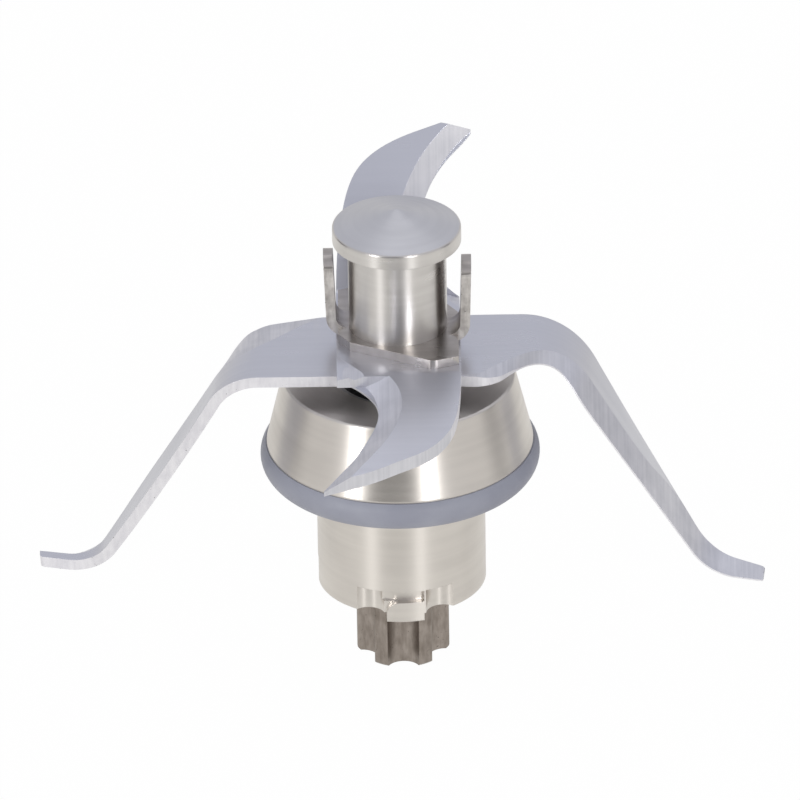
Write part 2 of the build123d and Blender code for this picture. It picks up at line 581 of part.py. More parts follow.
def wing_blade():
    """Long blade: both arms fall steeply and turn out flat at the tips, and the leading edges are
    ground from above."""
    right = wing_arm(RIGHT_SHOULDER, RIGHT_FACET_START, RIGHT_FACET_END, RIGHT_FACET_WIDTH)
    left = wing_arm(LEFT_SHOULDER, LEFT_FACET_START, LEFT_FACET_END, LEFT_FACET_WIDTH)
    blade = right + Rot(0, 0, 180) * left
    return blade - two_flat_rod(BEARING_BORE_RADIUS, WING_BOTTOM_Z - 1, WING_TOP_Z + 1, BLADE_FIT)


def scythe_line():
    """Top line of the curved blade in side view, from its lowered end to its raised end."""
    reach = SCYTHE_ARM_LENGTH + 2
    lowered = radians(SCYTHE_LOWERED_SLOPE)
    raised = radians(SCYTHE_RAISED_SLOPE)
    front = (-SCYTHE_BEND_Y - reach * cos(lowered), SCYTHE_TOP_Z - reach * sin(lowered))
    back = (SCYTHE_BEND_Y + reach * cos(raised), SCYTHE_TOP_Z + reach * sin(raised))
    return [front, (-SCYTHE_BEND_Y, SCYTHE_TOP_Z), (SCYTHE_BEND_Y, SCYTHE_TOP_Z), back]


def arm_outline(outer_side, tip, hollow):
    """Outline of one curved arm in its own plane."""
    outer = Spline(*outer_side, tangents=[(0.02, 1), (1, 0.35)])
    inner = Spline(*hollow, tangents=[(-0.7, -1), (0.9, -0.5)])
    straight = [Line(outer @ 1, tip), Line(tip, inner @ 0), Line(inner @ 1, outer @ 0)]
    return make_face([outer, inner, *straight])


def arm_bevel(plane, edge_line):
    """What grinding takes off the arm's hollow side, between a line on its top and its edge."""
    depth = SCYTHE_THICKNESS - SCYTHE_EDGE_LAND
    faces = []
    for inset, level in ((SCYTHE_BEVEL_WIDTH, 0.0), (0.0, -depth)):
        (tip_x, tip_y), *rest = edge_line
        hollow = Spline((tip_x - inset, tip_y + inset / 4), *[(x - inset, y) for x, y in rest])
        first, last = hollow @ 0, hollow @ 1
        rim = [last, (FAR / 2, last.Y), (FAR / 2, SCYTHE_ARM_LENGTH + 2),
               (first.X, SCYTHE_ARM_LENGTH + 2), first]
        outline = make_face([hollow, *Polyline(*rim).edges()])
        faces.append(plane * (Pos(0, 0, level) * outline))
    upper = faces[0].faces()[0]
    return [loft([upper, faces[1].faces()[0]], ruled=True), extrude(upper, 6, dir=plane.z_dir)]


def scythe_blade():
    """Curved blade: S-shaped in plan, bent up at the back and down at the front."""
    line = scythe_line()
    radii = [SCYTHE_BEND_RADIUS + SCYTHE_THICKNESS, SCYTHE_BEND_RADIUS]
    side = Plane(origin=(0, 0, 0), x_dir=(0, 1, 0), z_dir=(1, 0, 0))
    profile = band(line, radii, offset_corners(line, SCYTHE_THICKNESS),
                   offset_radii(line, radii, SCYTHE_THICKNESS), side)
    sheet = extrude(profile, FAR / 2, both=True)
    hub = SCYTHE_HUB_HALF_WIDTH
    blade = sheet & block((-hub, -SCYTHE_BEND_Y, 0), (hub, SCYTHE_BEND_Y, FAR))
    raised = radians(SCYTHE_RAISED_SLOPE)
    lowered = radians(SCYTHE_LOWERED_SLOPE)
    raised_plane = Plane(origin=(0, SCYTHE_BEND_Y, SCYTHE_TOP_Z), x_dir=(1, 0, 0),
                         z_dir=(0, -sin(raised), cos(raised)))
    lowered_plane = Plane(origin=(0, -SCYTHE_BEND_Y, SCYTHE_TOP_Z), x_dir=(-1, 0, 0),
                          z_dir=(0, -sin(lowered), cos(lowered)))
    arms = ((raised_plane, RAISED_OUTER_SIDE, RAISED_TIP, RAISED_HOLLOW, RAISED_EDGE_LINE),
            (lowered_plane, LOWERED_OUTER_SIDE, LOWERED_TIP, LOWERED_HOLLOW, LOWERED_EDGE_LINE))
    for plane, outer_side, tip, hollow, _ in arms:
        shape = extrude(plane * arm_outline(outer_side, tip, hollow), 2 * SCYTHE_THICKNESS, both=True)
        blade = blade + (sheet & shape)
    for plane, _, _, _, edge_line in arms:
        for cutter in arm_bevel(plane, edge_line):
            blade = blade - cutter
    facet = corner_grind(SCYTHE_CORNER_START, SCYTHE_CORNER_END, SCYTHE_CORNER_WIDTH,
                         SCYTHE_THICKNESS - SCYTHE_EDGE_LAND, SCYTHE_TOP_Z)
    hub_half = block((-FAR, -SCYTHE_BEND_Y, 0), (FAR, 0, FAR))
    blade = blade - facet - Rot(0, 0, 180) * (facet & hub_half)
    return blade - two_flat_rod(BEARING_BORE_RADIUS, WING_TOP_Z - 1, SCYTHE_TOP_Z + 1, BLADE_FIT)


def clip_ear():
    """Right ear of the clip with the part of the base that it grows from."""
    lean = tan(radians(CLIP_EAR_LEAN)) * CLIP_EAR_HEIGHT
    span = CLIP_INNER_HALF_SPAN
    line = [(0, CLIP_TOP_Z), (span, CLIP_TOP_Z), (span + lean, CLIP_TOP_Z + CLIP_EAR_HEIGHT)]
    profile = band(line, [CLIP_BEND_RADIUS], offset_corners(line, CLIP_THICKNESS),
                   offset_radii(line, [CLIP_BEND_RADIUS], CLIP_THICKNESS), side_plane(0))
    ear = extrude(profile, FAR / 2, both=True)
    tall = block((0, CLIP_EAR_NEAR_Y, 0), (FAR, CLIP_EAR_FAR_Y, CLIP_TOP_Z + CLIP_EAR_HEIGHT))
    crown = [edge for edge in tall.edges().filter_by(Axis.X) if edge.center().Z > CLIP_TOP_Z]
    return ear & fillet(crown, CLIP_EAR_ROUND)


def eared_clip():
    """Folded clip: a slanted base plate under the nut with an upright ear on each side."""
    side = CLIP_INNER_HALF_SPAN - CLIP_SIDE_INSET
    front = [(-CLIP_NECK_X, -CLIP_NECK_Y), (CLIP_CORNER_X, CLIP_CORNER_Y),
             (side, CLIP_CORNER_Y + CLIP_FRONT_SLANT), (side, CLIP_EAR_FAR_Y + CLIP_SHOULDER_REACH)]
    back = [(-x, -y) for x, y in front]
    plan = make_face(Polyline(*front, *back, close=True))
    corners = [v for v in plan.vertices() if abs(abs(v.X) - CLIP_CORNER_X) < 0.01]
    plan = fillet(corners, CLIP_CORNER_ROUND)
    base = Pos(0, 0, SCYTHE_TOP_Z) * extrude(plan, CLIP_THICKNESS)
    clip = base + clip_ear() + Rot(0, 0, 180) * clip_ear()
    return clip - two_flat_rod(BEARING_BORE_RADIUS, SCYTHE_TOP_Z - 1, CLIP_TOP_Z + 1, BLADE_FIT)


def head_nut():
    """Nut turned in one piece: a plain neck under a wide cap with a shallow cone."""
    nut = turned([
        (0, CLIP_TOP_Z), (NECK_RADIUS, CLIP_TOP_Z), (NECK_RADIUS, CAP_BOTTOM_Z),
        (CAP_RADIUS, CAP_BOTTOM_Z), (CAP_RADIUS, CAP_RIM_Z), (0, CAP_RIM_Z + CAP_CONE_HEIGHT)])
    nut = fillet(ring_edges(nut, CAP_RADIUS, CAP_RIM_Z), CAP_EDGE_ROUND)
    bore_top = STUD_TOP_Z + NUT_BORE_SPARE
    return nut - rod(STUD_RADIUS + THREAD_CLEARANCE, CLIP_TOP_Z - 1, bore_top)


def outer_spacer():
    """Sleeve between the outer rings of the two bearings."""
    inner = BEARING_RADIUS - OUTER_SPACER_WALL
    return tube(BEARING_RADIUS, inner, LOWER_BEARING_TOP_Z, UPPER_BEARING_BOTTOM_Z)


def inner_spacer():
    """Sleeve between the inner rings of the two bearings."""
    outer = BEARING_BORE_RADIUS + INNER_SPACER_WALL
    return tube(outer, BEARING_BORE_RADIUS, LOWER_BEARING_TOP_Z, UPPER_BEARING_BOTTOM_Z)


def assembly():
    """Every piece by name."""
    pieces = {
        "bearing_housing": bearing_housing(),
        "flange_seal": flange_seal(),
        "outer_spacer": outer_spacer(),
        "inner_spacer": inner_spacer(),
        "housing_circlip": housing_circlip(),
        "shaft_circlip": shaft_circlip(),
        "lip_seal_case": lip_seal_case(),
        "lip_seal_rubber": lip_seal_rubber(),
        "lip_seal_spring": lip_seal_spring(),
        "shaft": shaft(),
        "drive_coupling": drive_coupling(),
        "wing_blade": wing_blade(),
        "scythe_blade": scythe_blade(),
        "eared_clip": eared_clip(),
        "head_nut": head_nut(),
    }
    for place, top_z in (("upper", UPPER_BEARING_TOP_Z), ("lower", LOWER_BEARING_TOP_Z)):
        pieces[f"{place}_bearing_outer_ring"] = outer_ring(top_z)
        pieces[f"{place}_bearing_inner_ring"] = inner_ring(top_z)
        pieces[f"{place}_bearing_balls"] = balls(top_z)
        pieces[f"{place}_bearing_cage"] = cage(top_z)
        pieces[f"{place}_bearing_shields"] = shields(top_z)
    return pieces


def main():
    """Write one file for each piece."""
    os.makedirs("parts", exist_ok=True)
    for name, piece in assembly().items():
        export_step(piece, f"parts/{name}.step")


if __name__ == "__main__":
    main()
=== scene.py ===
"""Finishes, long blade, studio and camera of the blade assembly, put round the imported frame."""
import logging
import math
from dataclasses import dataclass, field
from enum import Enum

import bmesh
import bpy
from mathutils import Matrix, Vector


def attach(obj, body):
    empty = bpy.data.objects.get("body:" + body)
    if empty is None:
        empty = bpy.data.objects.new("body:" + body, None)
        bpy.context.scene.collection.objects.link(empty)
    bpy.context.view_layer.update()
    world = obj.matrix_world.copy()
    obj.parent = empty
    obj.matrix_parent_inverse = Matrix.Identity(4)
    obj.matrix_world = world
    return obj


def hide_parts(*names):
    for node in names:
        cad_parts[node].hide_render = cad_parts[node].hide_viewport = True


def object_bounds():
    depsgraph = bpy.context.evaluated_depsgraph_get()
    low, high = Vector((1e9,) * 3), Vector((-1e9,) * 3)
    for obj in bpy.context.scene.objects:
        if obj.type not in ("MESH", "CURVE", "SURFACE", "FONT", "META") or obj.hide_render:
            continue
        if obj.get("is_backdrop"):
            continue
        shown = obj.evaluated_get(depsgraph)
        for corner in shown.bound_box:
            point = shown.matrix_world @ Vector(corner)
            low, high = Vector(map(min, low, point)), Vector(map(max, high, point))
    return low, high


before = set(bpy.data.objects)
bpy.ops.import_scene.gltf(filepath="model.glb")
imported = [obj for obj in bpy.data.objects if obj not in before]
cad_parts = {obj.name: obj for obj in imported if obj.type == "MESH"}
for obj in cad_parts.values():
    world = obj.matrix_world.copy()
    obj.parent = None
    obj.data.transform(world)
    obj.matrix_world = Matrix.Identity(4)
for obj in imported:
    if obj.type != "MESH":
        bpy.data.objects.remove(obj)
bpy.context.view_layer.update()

LOG = logging.getLogger("blade_assembly")
MM = 0.001
# Spans of a noise's value over which a finish goes from one tone, or roughness, to the other
TONE_SPAN = (0.35, 0.65)
ROUGH_SPAN = (0.3, 0.7)


class Lay(Enum):
    """Which way a tool left its marks on a surface."""

    ROUND_SPINDLE = "rings round the spindle axis"
    ALONG_BLADE = "lines along X"
    ACROSS_BLADE = "lines along Y"
    ALL_WAYS = "no direction"


class Face(Enum):
    """What made a face, on the pieces whose faces differ."""

    SHEET = 0
    GROUND = 1
    EDGE = 2


def linear(colour: str) -> tuple[float, float, float, float]:
    """Turn an sRGB hex colour into linear RGBA.

    Args:
        colour: The colour as #RRGGBB.

    Returns:
        Linear red, green, blue and an alpha of 1.
    """
    values = [int(colour[place:place + 2], 16) / 255 for place in (1, 3, 5)]
    red, green, blue = [v / 12.92 if v <= 0.04045 else ((v + 0.055) / 1.055) ** 2.4 for v in values]
    return red, green, blue, 1.0


def add(tree: bpy.types.NodeTree, kind: str, inputs: dict[str | int, object] | None = None,
        **settings: object) -> bpy.types.Node:
    """Add one node with its settings, values and links.

    Args:
        tree: The node tree that gets it.
        kind: The node's type, without the word ShaderNode.
        inputs: Value or output socket for each input, by name or number.
        **settings: Properties of the node.

    Returns:
        The new node.
    """
    node = tree.nodes.new("ShaderNode" + kind)
    for name, value in settings.items():
        setattr(node, name, value)
    for name, value in (inputs or {}).items():
        if isinstance(value, bpy.types.NodeSocket):
            tree.links.new(value, node.inputs[name])
        else:
            node.inputs[name].default_value = value
    return node


@dataclass(frozen=True)
class Marks:
    """Pattern of fine marks that a tool leaves, in millimetres.

    Real marks are finer than a picture of the whole object can show, so these are drawn coarser.
    """

    lay: Lay
    spacing_mm: float
    length_mm: float = 12.0

    def coordinate(self, tree: bpy.types.NodeTree) -> bpy.types.NodeSocket:
        """Coordinate that counts marks: one unit is one mark.

        Args:
            tree: The material's node tree.

        Returns:
            The vector that a noise texture of scale 1 reads.
        """
        place = add(tree, "TexCoord").outputs["Object"]
        fine = 1 / (self.spacing_mm * MM)
        coarse = 1 / (self.length_mm * MM)
        if self.lay is Lay.ROUND_SPINDLE:
            flat = add(tree, "VectorMath", {0: place, 1: (1, 1, 0)}, operation="MULTIPLY").outputs[0]
            radius = add(tree, "VectorMath", {0: flat}, operation="LENGTH").outputs["Value"]
            height = add(tree, "SeparateXYZ", {0: place}).outputs["Z"]
            profile = add(tree, "Math", {0: height, 1: radius}, operation="SUBTRACT").outputs[0]
            rings = add(tree, "Math", {0: profile, 1: fine}, operation="MULTIPLY").outputs[0]
            turn = add(tree, "VectorMath", {0: flat}, operation="NORMALIZE").outputs[0]
            split = add(tree, "SeparateXYZ", {0: turn})
            return add(tree, "CombineXYZ", {0: split.outputs[0], 1: split.outputs[1], 2: rings}).outputs[0]
        scale = {
            Lay.ALONG_BLADE: (coarse, fine, coarse),
            Lay.ACROSS_BLADE: (fine, coarse, coarse),
            Lay.ALL_WAYS: (fine, fine, fine),
        }[self.lay]
        return add(tree, "VectorMath", {0: place, 1: scale}, operation="MULTIPLY").outputs[0]

    def tangent(self, tree: bpy.types.NodeTree) -> bpy.types.NodeSocket:
        """Direction of the marks on the surface, for the stretch of its highlights.

        Args:
            tree: The material's node tree.

        Returns:
            The vector that the shader's tangent reads.
        """
        if self.lay is Lay.ROUND_SPINDLE:
            place = add(tree, "TexCoord").outputs["Object"]
            marks = add(tree, "VectorMath", {0: (0, 0, 1), 1: place}, operation="CROSS_PRODUCT").outputs[0]
        else:
            way = (0, 1, 0) if self.lay is Lay.ACROSS_BLADE else (1, 0, 0)
            marks = add(tree, "CombineXYZ", dict(enumerate(way))).outputs[0]
        return add(tree, "VectorTransform", {0: marks}, vector_type="VECTOR",
                   convert_from="OBJECT", convert_to="WORLD").outputs[0]


@dataclass(frozen=True)
class Steel:
    """Bare metal whose look is set by how its surface was cut.

    The marks give it a direction. Where the steel has anisotropy, a highlight spreads across them and
    stays narrow along them. Broad bands of tone and roughness follow the marks, and a soft cloud breaks
    them up.
    """

    name: str
    colour: str
    shade: str
    marks: Marks
    roughness: float = 0.3
    roughness_spread: float = 0.1
    anisotropy: float = 0.0
    depth_mm: float = 0.003
    band_contrast: float = 0.35
    cloud_mm: float = 9.0
    speck_mm: float = 0.0
    speck_colour: str = "#3A3533"
    speck_level: float = 0.72
    speck_soft: float = 0.06
    edge_round_mm: float = 0.0
    edge_samples: int = 4
    band_scale: tuple[float, float, float] = (0.5, 0.21, 0.13)
    highlight_turn: float = 0.25

    def material(self) -> bpy.types.Material:
        """Build the node material.

        Returns:
            The new material.
        """
        material = bpy.data.materials.new(self.name)
        material.use_nodes = True
        tree = material.node_tree
        tree.nodes.clear()
        where = self.marks.coordinate(tree)
        fine = add(tree, "TexNoise", {"Vector": where, "Scale": 1.0, "Detail": 3.0, "Roughness": 0.6})
        slow = add(tree, "VectorMath", {0: where, 1: self.band_scale}, operation="MULTIPLY").outputs[0]
        bands = add(tree, "TexNoise", {"Vector": slow, "Scale": 1.0, "Detail": 2.0, "Roughness": 0.5})
        place = add(tree, "TexCoord").outputs["Object"]
        cloud = add(tree, "TexNoise", {"Vector": place, "Scale": 1 / (self.cloud_mm * MM), "Detail": 3.0})
        both = add(tree, "Mix", {"Factor": 0.5, 2: bands.outputs[0], 3: cloud.outputs[0]})
        spread = add(tree, "MapRange", {
            "Value": both.outputs[0], "From Min": TONE_SPAN[0], "From Max": TONE_SPAN[1],
            "To Max": self.band_contrast})
        tone = add(tree, "Mix", {
            "Factor": spread.outputs[0], 6: linear(self.colour), 7: linear(self.shade)}, data_type="RGBA")
        colour = tone.outputs[2]
        rough = add(tree, "MapRange", {
            "Value": both.outputs[0], "From Min": ROUGH_SPAN[0], "From Max": ROUGH_SPAN[1],
            "To Min": self.roughness - self.roughness_spread / 2,
            "To Max": self.roughness + self.roughness_spread / 2}).outputs[0]
        if self.speck_mm:
            pits = add(tree, "TexNoise", {
                "Vector": place, "Scale": 1 / (self.speck_mm * MM), "Detail": 2.0, "Roughness": 0.7})
            mask = add(tree, "MapRange", {
                "Value": pits.outputs[0], "From Min": self.speck_level,
                "From Max": self.speck_level + self.speck_soft})
            colour = add(tree, "Mix", {
                "Factor": mask.outputs[0], 6: colour, 7: linear(self.speck_colour)},
                data_type="RGBA").outputs[2]
        bump_inputs = {"Height": fine.outputs[0], "Distance": self.depth_mm * MM, "Strength": 1.0}
        if self.edge_round_mm:
            rounded = add(tree, "Bevel", {"Radius": self.edge_round_mm * MM}, samples=self.edge_samples)
            bump_inputs["Normal"] = rounded.outputs[0]
        bump = add(tree, "Bump", bump_inputs)
        inputs = {
            "Base Color": colour, "Metallic": 1.0, "Roughness": rough, "Normal": bump.outputs[0]}
        if self.anisotropy:
            inputs["Anisotropic"] = self.anisotropy
            inputs["Anisotropic Rotation"] = self.highlight_turn
            inputs["Tangent"] = self.marks.tangent(tree)
        shader = add(tree, "BsdfPrincipled", inputs)
        add(tree, "OutputMaterial", {"Surface": shader.outputs[0]})
        return material


@dataclass(frozen=True)
class Moulding:
    """Rubber or plastic from a mould: one colour, a soft sheen and a fine skin."""

    name: str
    colour: str
    shade: str
    roughness: float = 0.5
    roughness_spread: float = 0.12
    ior: float = 1.45
    grain_mm: float = 0.25
    depth_mm: float = 0.006
    cloud_mm: float = 7.0

    def material(self) -> bpy.types.Material:
        """Build the node material.

        Returns:
            The new material.
        """
        material = bpy.data.materials.new(self.name)
        material.use_nodes = True
        tree = material.node_tree
        tree.nodes.clear()
        place = add(tree, "TexCoord").outputs["Object"]
        grain = add(tree, "TexNoise", {"Vector": place, "Scale": 1 / (self.grain_mm * MM), "Detail": 2.0})
        cloud = add(tree, "TexNoise", {"Vector": place, "Scale": 1 / (self.cloud_mm * MM), "Detail": 4.0})
        spread = add(tree, "MapRange", {
            "Value": cloud.outputs[0], "From Min": TONE_SPAN[0], "From Max": TONE_SPAN[1]})
        tone = add(tree, "Mix", {
            "Factor": spread.outputs[0], 6: linear(self.colour), 7: linear(self.shade)}, data_type="RGBA")
        rough = add(tree, "MapRange", {
            "Value": cloud.outputs[0], "From Min": ROUGH_SPAN[0], "From Max": ROUGH_SPAN[1],
            "To Min": self.roughness - self.roughness_spread / 2,
            "To Max": self.roughness + self.roughness_spread / 2})
        bump = add(tree, "Bump", {
            "Height": grain.outputs[0], "Distance": self.depth_mm * MM, "Strength": 1.0})
        shader = add(tree, "BsdfPrincipled", {
            "Base Color": tone.outputs[2], "Roughness": rough.outputs[0], "IOR": self.ior,
            "Normal": bump.outputs[0]})
        add(tree, "OutputMaterial", {"Surface": shader.outputs[0]})
        return material


# Stainless steel turned on a lathe: rings too fine to count spread each light into an upright band
TURNED_HOUSING = Steel("stainless_turned_housing", "#D8D3CD", "#BDB8B3",
                       Marks(Lay.ROUND_SPINDLE, 0.16), roughness=0.33, anisotropy=0.75,
                       band_contrast=0.3, edge_round_mm=0.12)
# The nut's neck and rim, turned finer than the housing: narrower upright bands
TURNED_NUT = Steel("stainless_turned_nut", "#D6D3D0", "#B8B4B0",
                   Marks(Lay.ROUND_SPINDLE, 0.14), roughness=0.3, anisotropy=0.8,
                   band_contrast=0.35, edge_round_mm=0.12)
# The nut's shallow cone, faced with a broad tool: its rings spread light less than the neck's do
FACED_CAP = Steel("stainless_faced_cap", "#CFCFD2", "#BDBDC1",
                  Marks(Lay.ROUND_SPINDLE, 0.2), roughness=0.38, anisotropy=0.45,
                  band_contrast=0.3, edge_round_mm=0.12)
# Stainless sheet with a rolled satin face: a quiet, slightly blue grey with faint lines along it
SATIN_SHEET = Steel("stainless_satin_sheet", "#CFD0D8", "#BFC1CA",
                    Marks(Lay.ALONG_BLADE, 0.18), roughness=0.3, anisotropy=0.35,
                    band_contrast=0.3, cloud_mm=14.0, edge_round_mm=0.15)
# The same sheet where a wheel has ground it thin: brighter, with faint bands across the edge
GROUND_BEVEL = Steel("stainless_ground_bevel", "#DADAE0", "#BEBFC6",
                     Marks(Lay.ACROSS_BLADE, 0.22, 3.0), roughness=0.45, depth_mm=0.001,
                     band_contrast=0.6, cloud_mm=4.0)
# The cut side of the sheet: paler and rougher, grained, with a few dark specks
SHEARED_EDGE = Steel("stainless_sheared_edge", "#EBEAEE", "#D1D0D6",
                     Marks(Lay.ALL_WAYS, 0.35), roughness=0.56, depth_mm=0.004, band_contrast=0.6,
                     cloud_mm=3.0, speck_mm=0.5, speck_level=0.7)
# The clip's thinner sheet: a warmer, darker grey that varies more from place to place
CLIP_SHEET = Steel("stainless_folded_clip", "#BDB8B4", "#8E8883",
                   Marks(Lay.ALONG_BLADE, 0.2), roughness=0.3, band_contrast=0.5,
                   cloud_mm=3.0, edge_round_mm=0.12)
# The clip's cut side: paler than its faces, coarsely grained and speckled
CLIP_EDGE = Steel("stainless_clip_edge", "#E2DEDA", "#9C9793",
                  Marks(Lay.ALL_WAYS, 0.4), roughness=0.4, depth_mm=0.02, band_contrast=0.8,
                  cloud_mm=1.4, speck_mm=0.6, speck_level=0.7, speck_colour="#6A6460")
# Pressed and sintered powder: brown grey, cloudy and pitted
SINTERED = Steel("sintered_steel", "#9F968F", "#766D65",
                 Marks(Lay.ALL_WAYS, 0.3), roughness=0.4, depth_mm=0.012, band_contrast=0.8,
                 cloud_mm=3.0, speck_mm=0.35, speck_level=0.68, edge_round_mm=0.12)
# Stainless bar ground round: finer rings than turning leaves, so a tighter shine
SHAFT_GROUND = Steel("stainless_ground_shaft", "#CFCDCB", "#B0AEAC",
                     Marks(Lay.ROUND_SPINDLE, 0.1), roughness=0.25, anisotropy=0.6)
# Plain steel turned on a lathe: dull, with coarse rings
SLEEVE_STEEL = Steel("steel_turned_sleeve", "#C4C2C0", "#A5A3A1",
                     Marks(Lay.ROUND_SPINDLE, 0.2), roughness=0.35, anisotropy=0.6)
# Spring steel coloured by heat: a bluish grey with no direction
SPRING_STEEL = Steel("blued_spring_steel", "#8C8E96", "#5F6169",
                     Marks(Lay.ALL_WAYS, 0.3), roughness=0.35)
# Bearing steel lapped smooth: nearly a mirror
BEARING_STEEL = Steel("polished_bearing_steel", "#DCDCDE", "#C8C8CB",
                      Marks(Lay.ROUND_SPINDLE, 0.08), roughness=0.12, roughness_spread=0.04,
                      depth_mm=0.0006, band_contrast=0.2)
# Silicone rubber: a dull bluish grey that only shines softly along its bulge
SEAL_RUBBER = Moulding("silicone_moulded_seal", "#9799A3", "#8D8F9A", roughness=0.48)
# Nitrile rubber: nearly black, duller than the silicone
LIP_RUBBER = Moulding("nitrile_moulded_lip", "#4A4A4D", "#3A3A3D", roughness=0.55)
# Natural polyamide from a mould: cream, with a soft sheen
CAGE_PLASTIC = Moulding("polyamide_moulded_cage", "#DDD5BF", "#CFC6AF", roughness=0.5, ior=1.53)
# What each kind of face on a blade shows
BLADE_FINISHES = {Face.SHEET: SATIN_SHEET, Face.GROUND: GROUND_BEVEL, Face.EDGE: SHEARED_EDGE}


@dataclass
class Piece:
    """One carried-over piece and the finish it gets."""

    node: str
    finish: Steel | Moulding

    def dress(self) -> bpy.types.Object:
        """Give the piece's object its finish.

        Returns:
            The dressed object.
        """
        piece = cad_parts[self.node]
        piece.data.materials.clear()
        piece.data.materials.append(self.finish.material())
        return piece


@dataclass
class SheetPiece:
    """A piece whose faces differ in how they were made, told apart by how they lie."""

    node: str
    finishes: dict[Face, Steel]
    sheet_normals: list[Vector] = field(default_factory=list)
    flat_limit: float = 0.97
    edge_limit: float = 0.25

    def kind(self, normal: Vector) -> Face:
        """Tell what kind of face a normal belongs to.

        Args:
            normal: The face's normal.

        Returns:
            The kind of face.
        """
        flatness = max(abs(normal.dot(sheet)) for sheet in self.sheet_normals)
        if flatness > self.flat_limit:
            return Face.SHEET
        return Face.EDGE if flatness < self.edge_limit else Face.GROUND

    def dress(self) -> bpy.types.Object:
        """Give each face of the piece the finish of its kind.

        Returns:
            The dressed object.
        """
        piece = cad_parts[self.node]
        piece.data.materials.clear()
        places = {}
        for face, finish in self.finishes.items():
            places[face] = len(piece.data.materials)
            piece.data.materials.append(finish.material())
        for polygon in piece.data.polygons:
            polygon.material_index = places[self.kind(polygon.normal)]
        return piece


def smooth(points: tuple[tuple[float, float], ...], x: float) -> float:
    """Height at x of a smooth curve through some points.

    Args:
        points: The points, in order of x.
        x: Where to read the curve.

    Returns:
        The curve's height, level beyond its ends.
    """
    if x <= points[0][0]:
        return points[0][1]
    if x >= points[-1][0]:
        return points[-1][1]
    place = max(number for number, point in enumerate(points) if point[0] <= x)
    (x0, y0), (x1, y1) = points[place], points[place + 1]
    before = points[max(place - 1, 0)]
    after = points[min(place + 2, len(points) - 1)]
    start = (y1 - before[1]) / (x1 - before[0])
    end = (after[1] - y0) / (after[0] - x0)
    span = x1 - x0
    t = (x - x0) / span
    return ((2 * t ** 3 - 3 * t ** 2 + 1) * y0 + (t ** 3 - 2 * t ** 2 + t) * span * start
            + (3 * t ** 2 - 2 * t ** 3) * y1 + (t ** 3 - t ** 2) * span * end)


